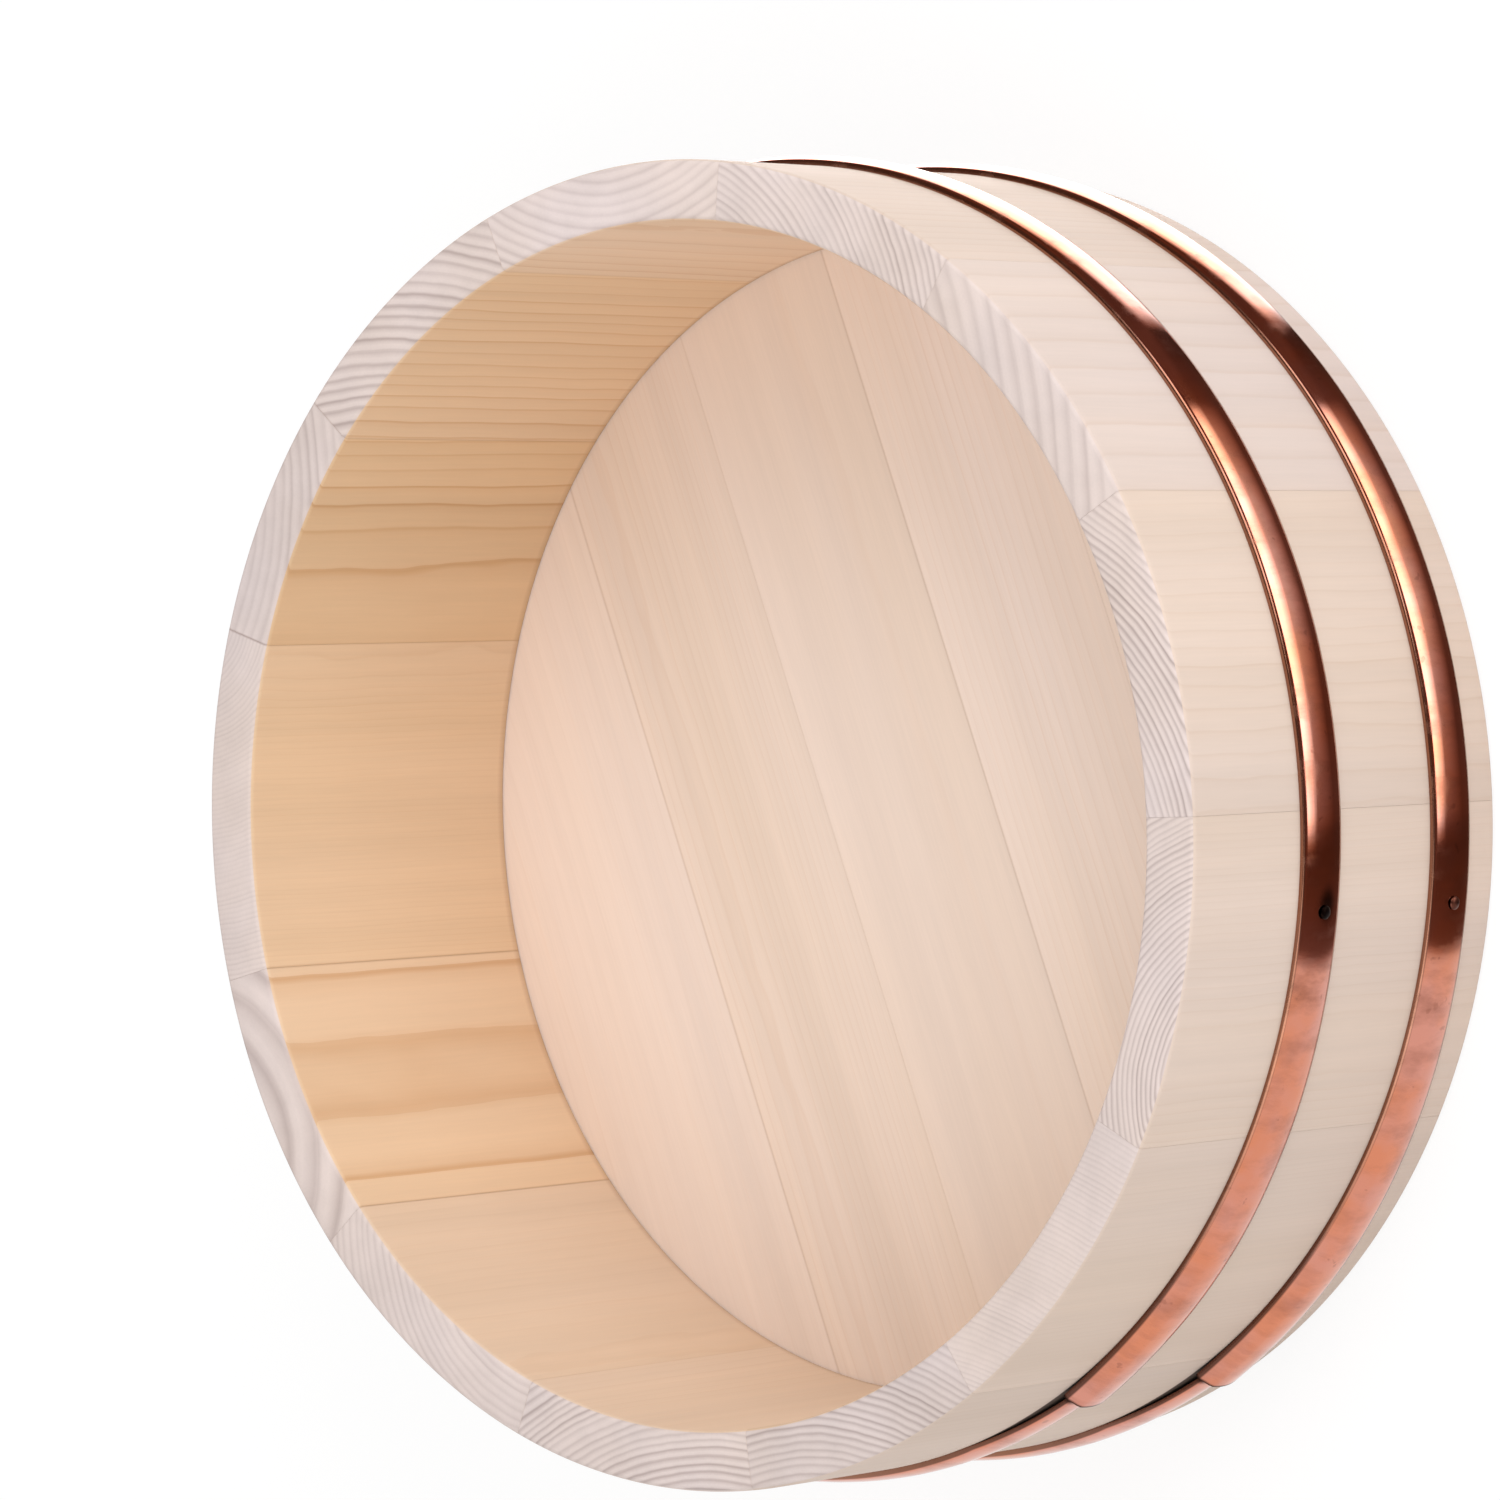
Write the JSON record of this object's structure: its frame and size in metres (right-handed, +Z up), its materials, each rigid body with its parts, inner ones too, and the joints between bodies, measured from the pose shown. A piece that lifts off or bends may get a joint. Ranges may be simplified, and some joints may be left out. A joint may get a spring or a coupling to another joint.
{
  "type": "sushi rice tub",
  "caption": "Low round wooden tub of upright staves with a grooved-in board floor and domed, lapped copper hoops, for cooling and dressing sushi rice.",
  "frame": {"origin": "on the ground at the centre of the foot", "axes": "+Z up along the tub's axis towards the mouth; the floor boards run along X"},
  "size_m": [0.3338, 0.3334, 0.1193],
  "materials": {
    "stave_wood": "planed and sanded pale softwood, unfinished",
    "floor_wood": "planed pale softwood, unfinished",
    "bamboo": "split bamboo",
    "hoop_copper": "polished copper with light drawing marks",
    "tack_copper": "copper, slightly dulled"
  },
  "bodies": {
    "root": {"stave_01": "stave_wood", "stave_02": "stave_wood", "stave_03": "stave_wood", "stave_04": "stave_wood", "stave_05": "stave_wood", "stave_06": "stave_wood", "stave_07": "stave_wood", "stave_08": "stave_wood", "stave_09": "stave_wood", "stave_10": "stave_wood", "stave_11": "stave_wood", "stave_12": "stave_wood", "stave_13": "stave_wood", "floor_board_1": "floor_wood", "floor_board_2": "floor_wood", "floor_board_3": "floor_wood", "floor_board_4": "floor_wood", "floor_board_5": "floor_wood", "hoop_upper": "hoop_copper", "hoop_lower": "hoop_copper", "tack_upper_1": "tack_copper", "tack_upper_2": "tack_copper", "tack_upper_3": "tack_copper", "tack_lower_1": "tack_copper", "tack_lower_2": "tack_copper", "tack_lower_3": "tack_copper", "stave_pin_01_low": "bamboo", "stave_pin_01_high": "bamboo", "stave_pin_02_low": "bamboo", "stave_pin_02_high": "bamboo", "stave_pin_03_low": "bamboo", "stave_pin_03_high": "bamboo", "stave_pin_04_low": "bamboo", "stave_pin_04_high": "bamboo", "stave_pin_05_low": "bamboo", "stave_pin_05_high": "bamboo", "stave_pin_06_low": "bamboo", "stave_pin_06_high": "bamboo", "stave_pin_07_low": "bamboo", "stave_pin_07_high": "bamboo", "stave_pin_08_low": "bamboo", "stave_pin_08_high": "bamboo", "stave_pin_09_low": "bamboo", "stave_pin_09_high": "bamboo", "stave_pin_10_low": "bamboo", "stave_pin_10_high": "bamboo", "stave_pin_11_low": "bamboo", "stave_pin_11_high": "bamboo", "stave_pin_12_low": "bamboo", "stave_pin_12_high": "bamboo", "stave_pin_13_low": "bamboo", "stave_pin_13_high": "bamboo", "floor_pin_1_a": "bamboo", "floor_pin_1_b": "bamboo", "floor_pin_2_a": "bamboo", "floor_pin_2_b": "bamboo", "floor_pin_3_a": "bamboo", "floor_pin_3_b": "bamboo", "floor_pin_4_a": "bamboo", "floor_pin_4_b": "bamboo"}
  },
  "joints": []
}
